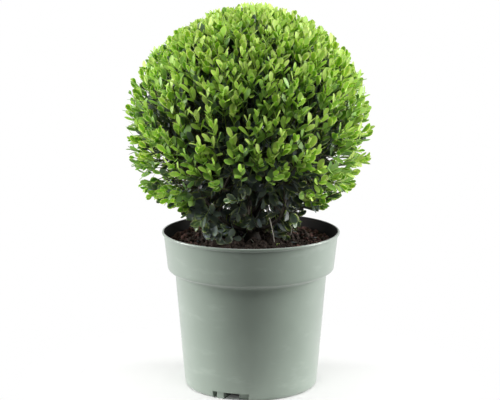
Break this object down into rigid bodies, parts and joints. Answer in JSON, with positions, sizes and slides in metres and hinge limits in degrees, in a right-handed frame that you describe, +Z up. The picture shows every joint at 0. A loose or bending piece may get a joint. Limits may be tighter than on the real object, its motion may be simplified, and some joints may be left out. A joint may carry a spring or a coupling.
{
  "type": "potted japanese holly",
  "caption": "Japanese holly clipped to a dense ball of small glossy leaves, low on a short forking trunk, growing in peat in a round sage green nursery pot.",
  "frame": {"origin": "middle of the pot's flat underside, on the floor", "axes": "+Z up along the pot's axis to the top of the crown, -Y towards the viewer of the picture"},
  "size_m": [0.3295, 0.3303, 0.5186],
  "materials": {
    "pot": "moulded satin",
    "soil": "loose crumbs",
    "bark": "fine bark",
    "foliage": "glossy leaves"
  },
  "bodies": {
    "root": {"pot": "pot", "soil": "soil", "trunk": "bark", "bough_top": "bark", "bough_upper_1": "bark", "bough_upper_2": "bark", "bough_upper_3": "bark", "bough_upper_4": "bark", "bough_upper_5": "bark", "bough_lower_1": "bark", "bough_lower_2": "bark", "bough_lower_3": "bark", "bough_lower_4": "bark", "bough_lower_5": "bark", "bough_lower_6": "bark", "bough_skirt_1": "bark", "bough_skirt_2": "bark", "bough_skirt_3": "bark", "bough_skirt_4": "bark", "bough_skirt_5": "bark", "bough_skirt_6": "bark", "foliage_top": "foliage", "foliage_upper_1": "foliage", "foliage_upper_2": "foliage", "foliage_upper_3": "foliage", "foliage_upper_4": "foliage", "foliage_upper_5": "foliage", "foliage_lower_1": "foliage", "foliage_lower_2": "foliage", "foliage_lower_3": "foliage", "foliage_lower_4": "foliage", "foliage_lower_5": "foliage", "foliage_lower_6": "foliage", "foliage_skirt_1": "foliage", "foliage_skirt_2": "foliage", "foliage_skirt_3": "foliage", "foliage_skirt_4": "foliage", "foliage_skirt_5": "foliage", "foliage_skirt_6": "foliage"}
  },
  "joints": []
}
